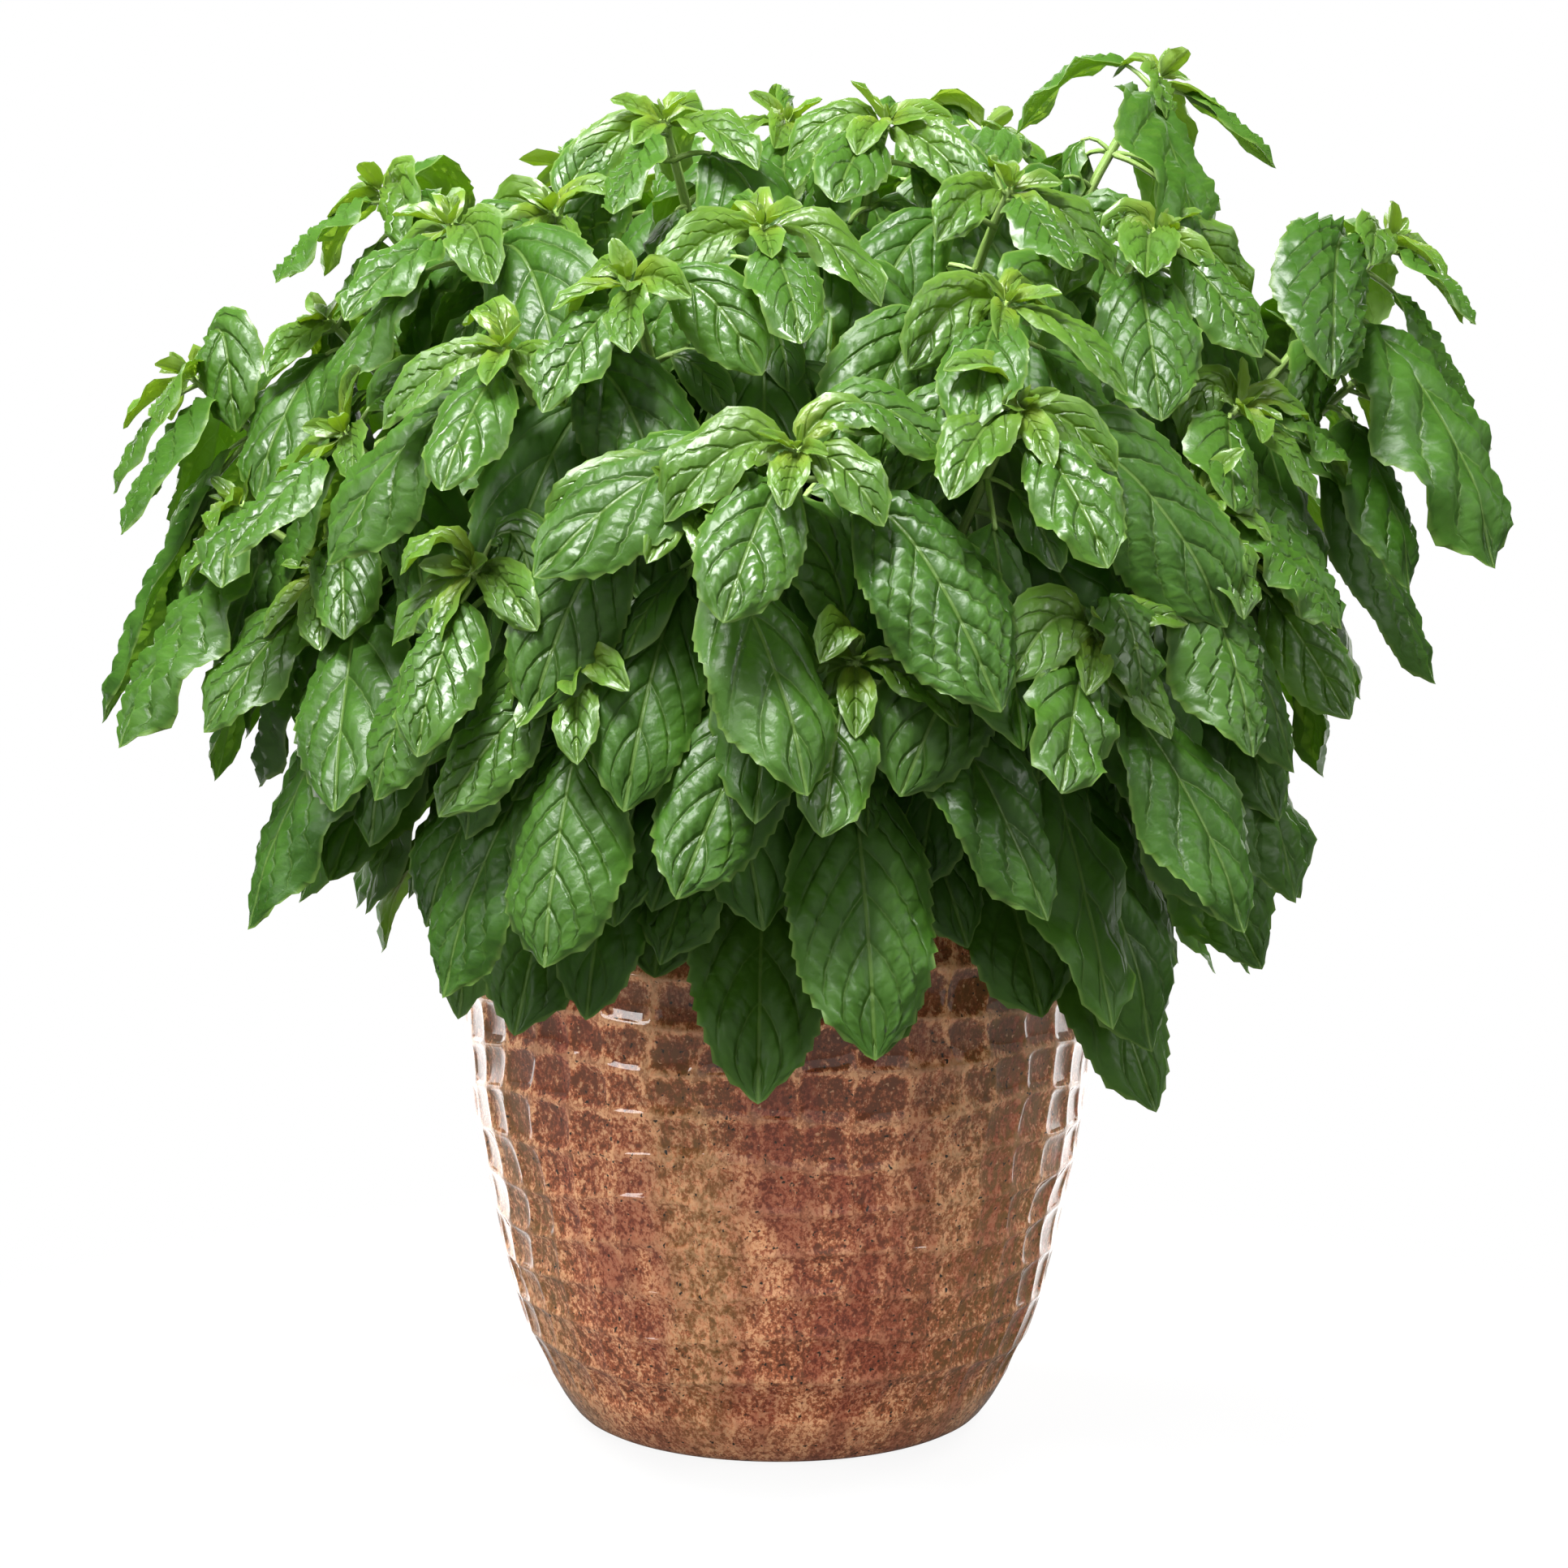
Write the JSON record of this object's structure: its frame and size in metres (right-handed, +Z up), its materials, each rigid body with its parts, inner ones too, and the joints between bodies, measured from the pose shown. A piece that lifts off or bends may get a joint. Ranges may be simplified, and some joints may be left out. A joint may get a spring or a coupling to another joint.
{
  "type": "potted basil plant",
  "caption": "Large-leaved bushy basil growing in soil in a round hammered pot with a brown glaze.",
  "frame": {"origin": "centre of the pot's flat foot, on the surface it stands on", "axes": "+Z up along the pot's axis, -Y towards the viewer of the picture (front), +X to the viewer's right"},
  "size_m": [0.4986, 0.4512, 0.4884],
  "materials": {
    "glaze": "gloss",
    "earth": "matte",
    "foliage": "satin"
  },
  "bodies": {
    "root": {"pot": "glaze", "soil": "earth", "stem_01": "foliage", "stem_02": "foliage", "stem_03": "foliage", "stem_04": "foliage", "stem_05": "foliage", "stem_06": "foliage", "stem_07": "foliage", "stem_08": "foliage", "stem_09": "foliage", "stem_10": "foliage", "stem_11": "foliage", "stem_12": "foliage", "stem_13": "foliage", "stem_14": "foliage", "stem_15": "foliage", "stem_16": "foliage", "stem_17": "foliage"}
  },
  "joints": []
}
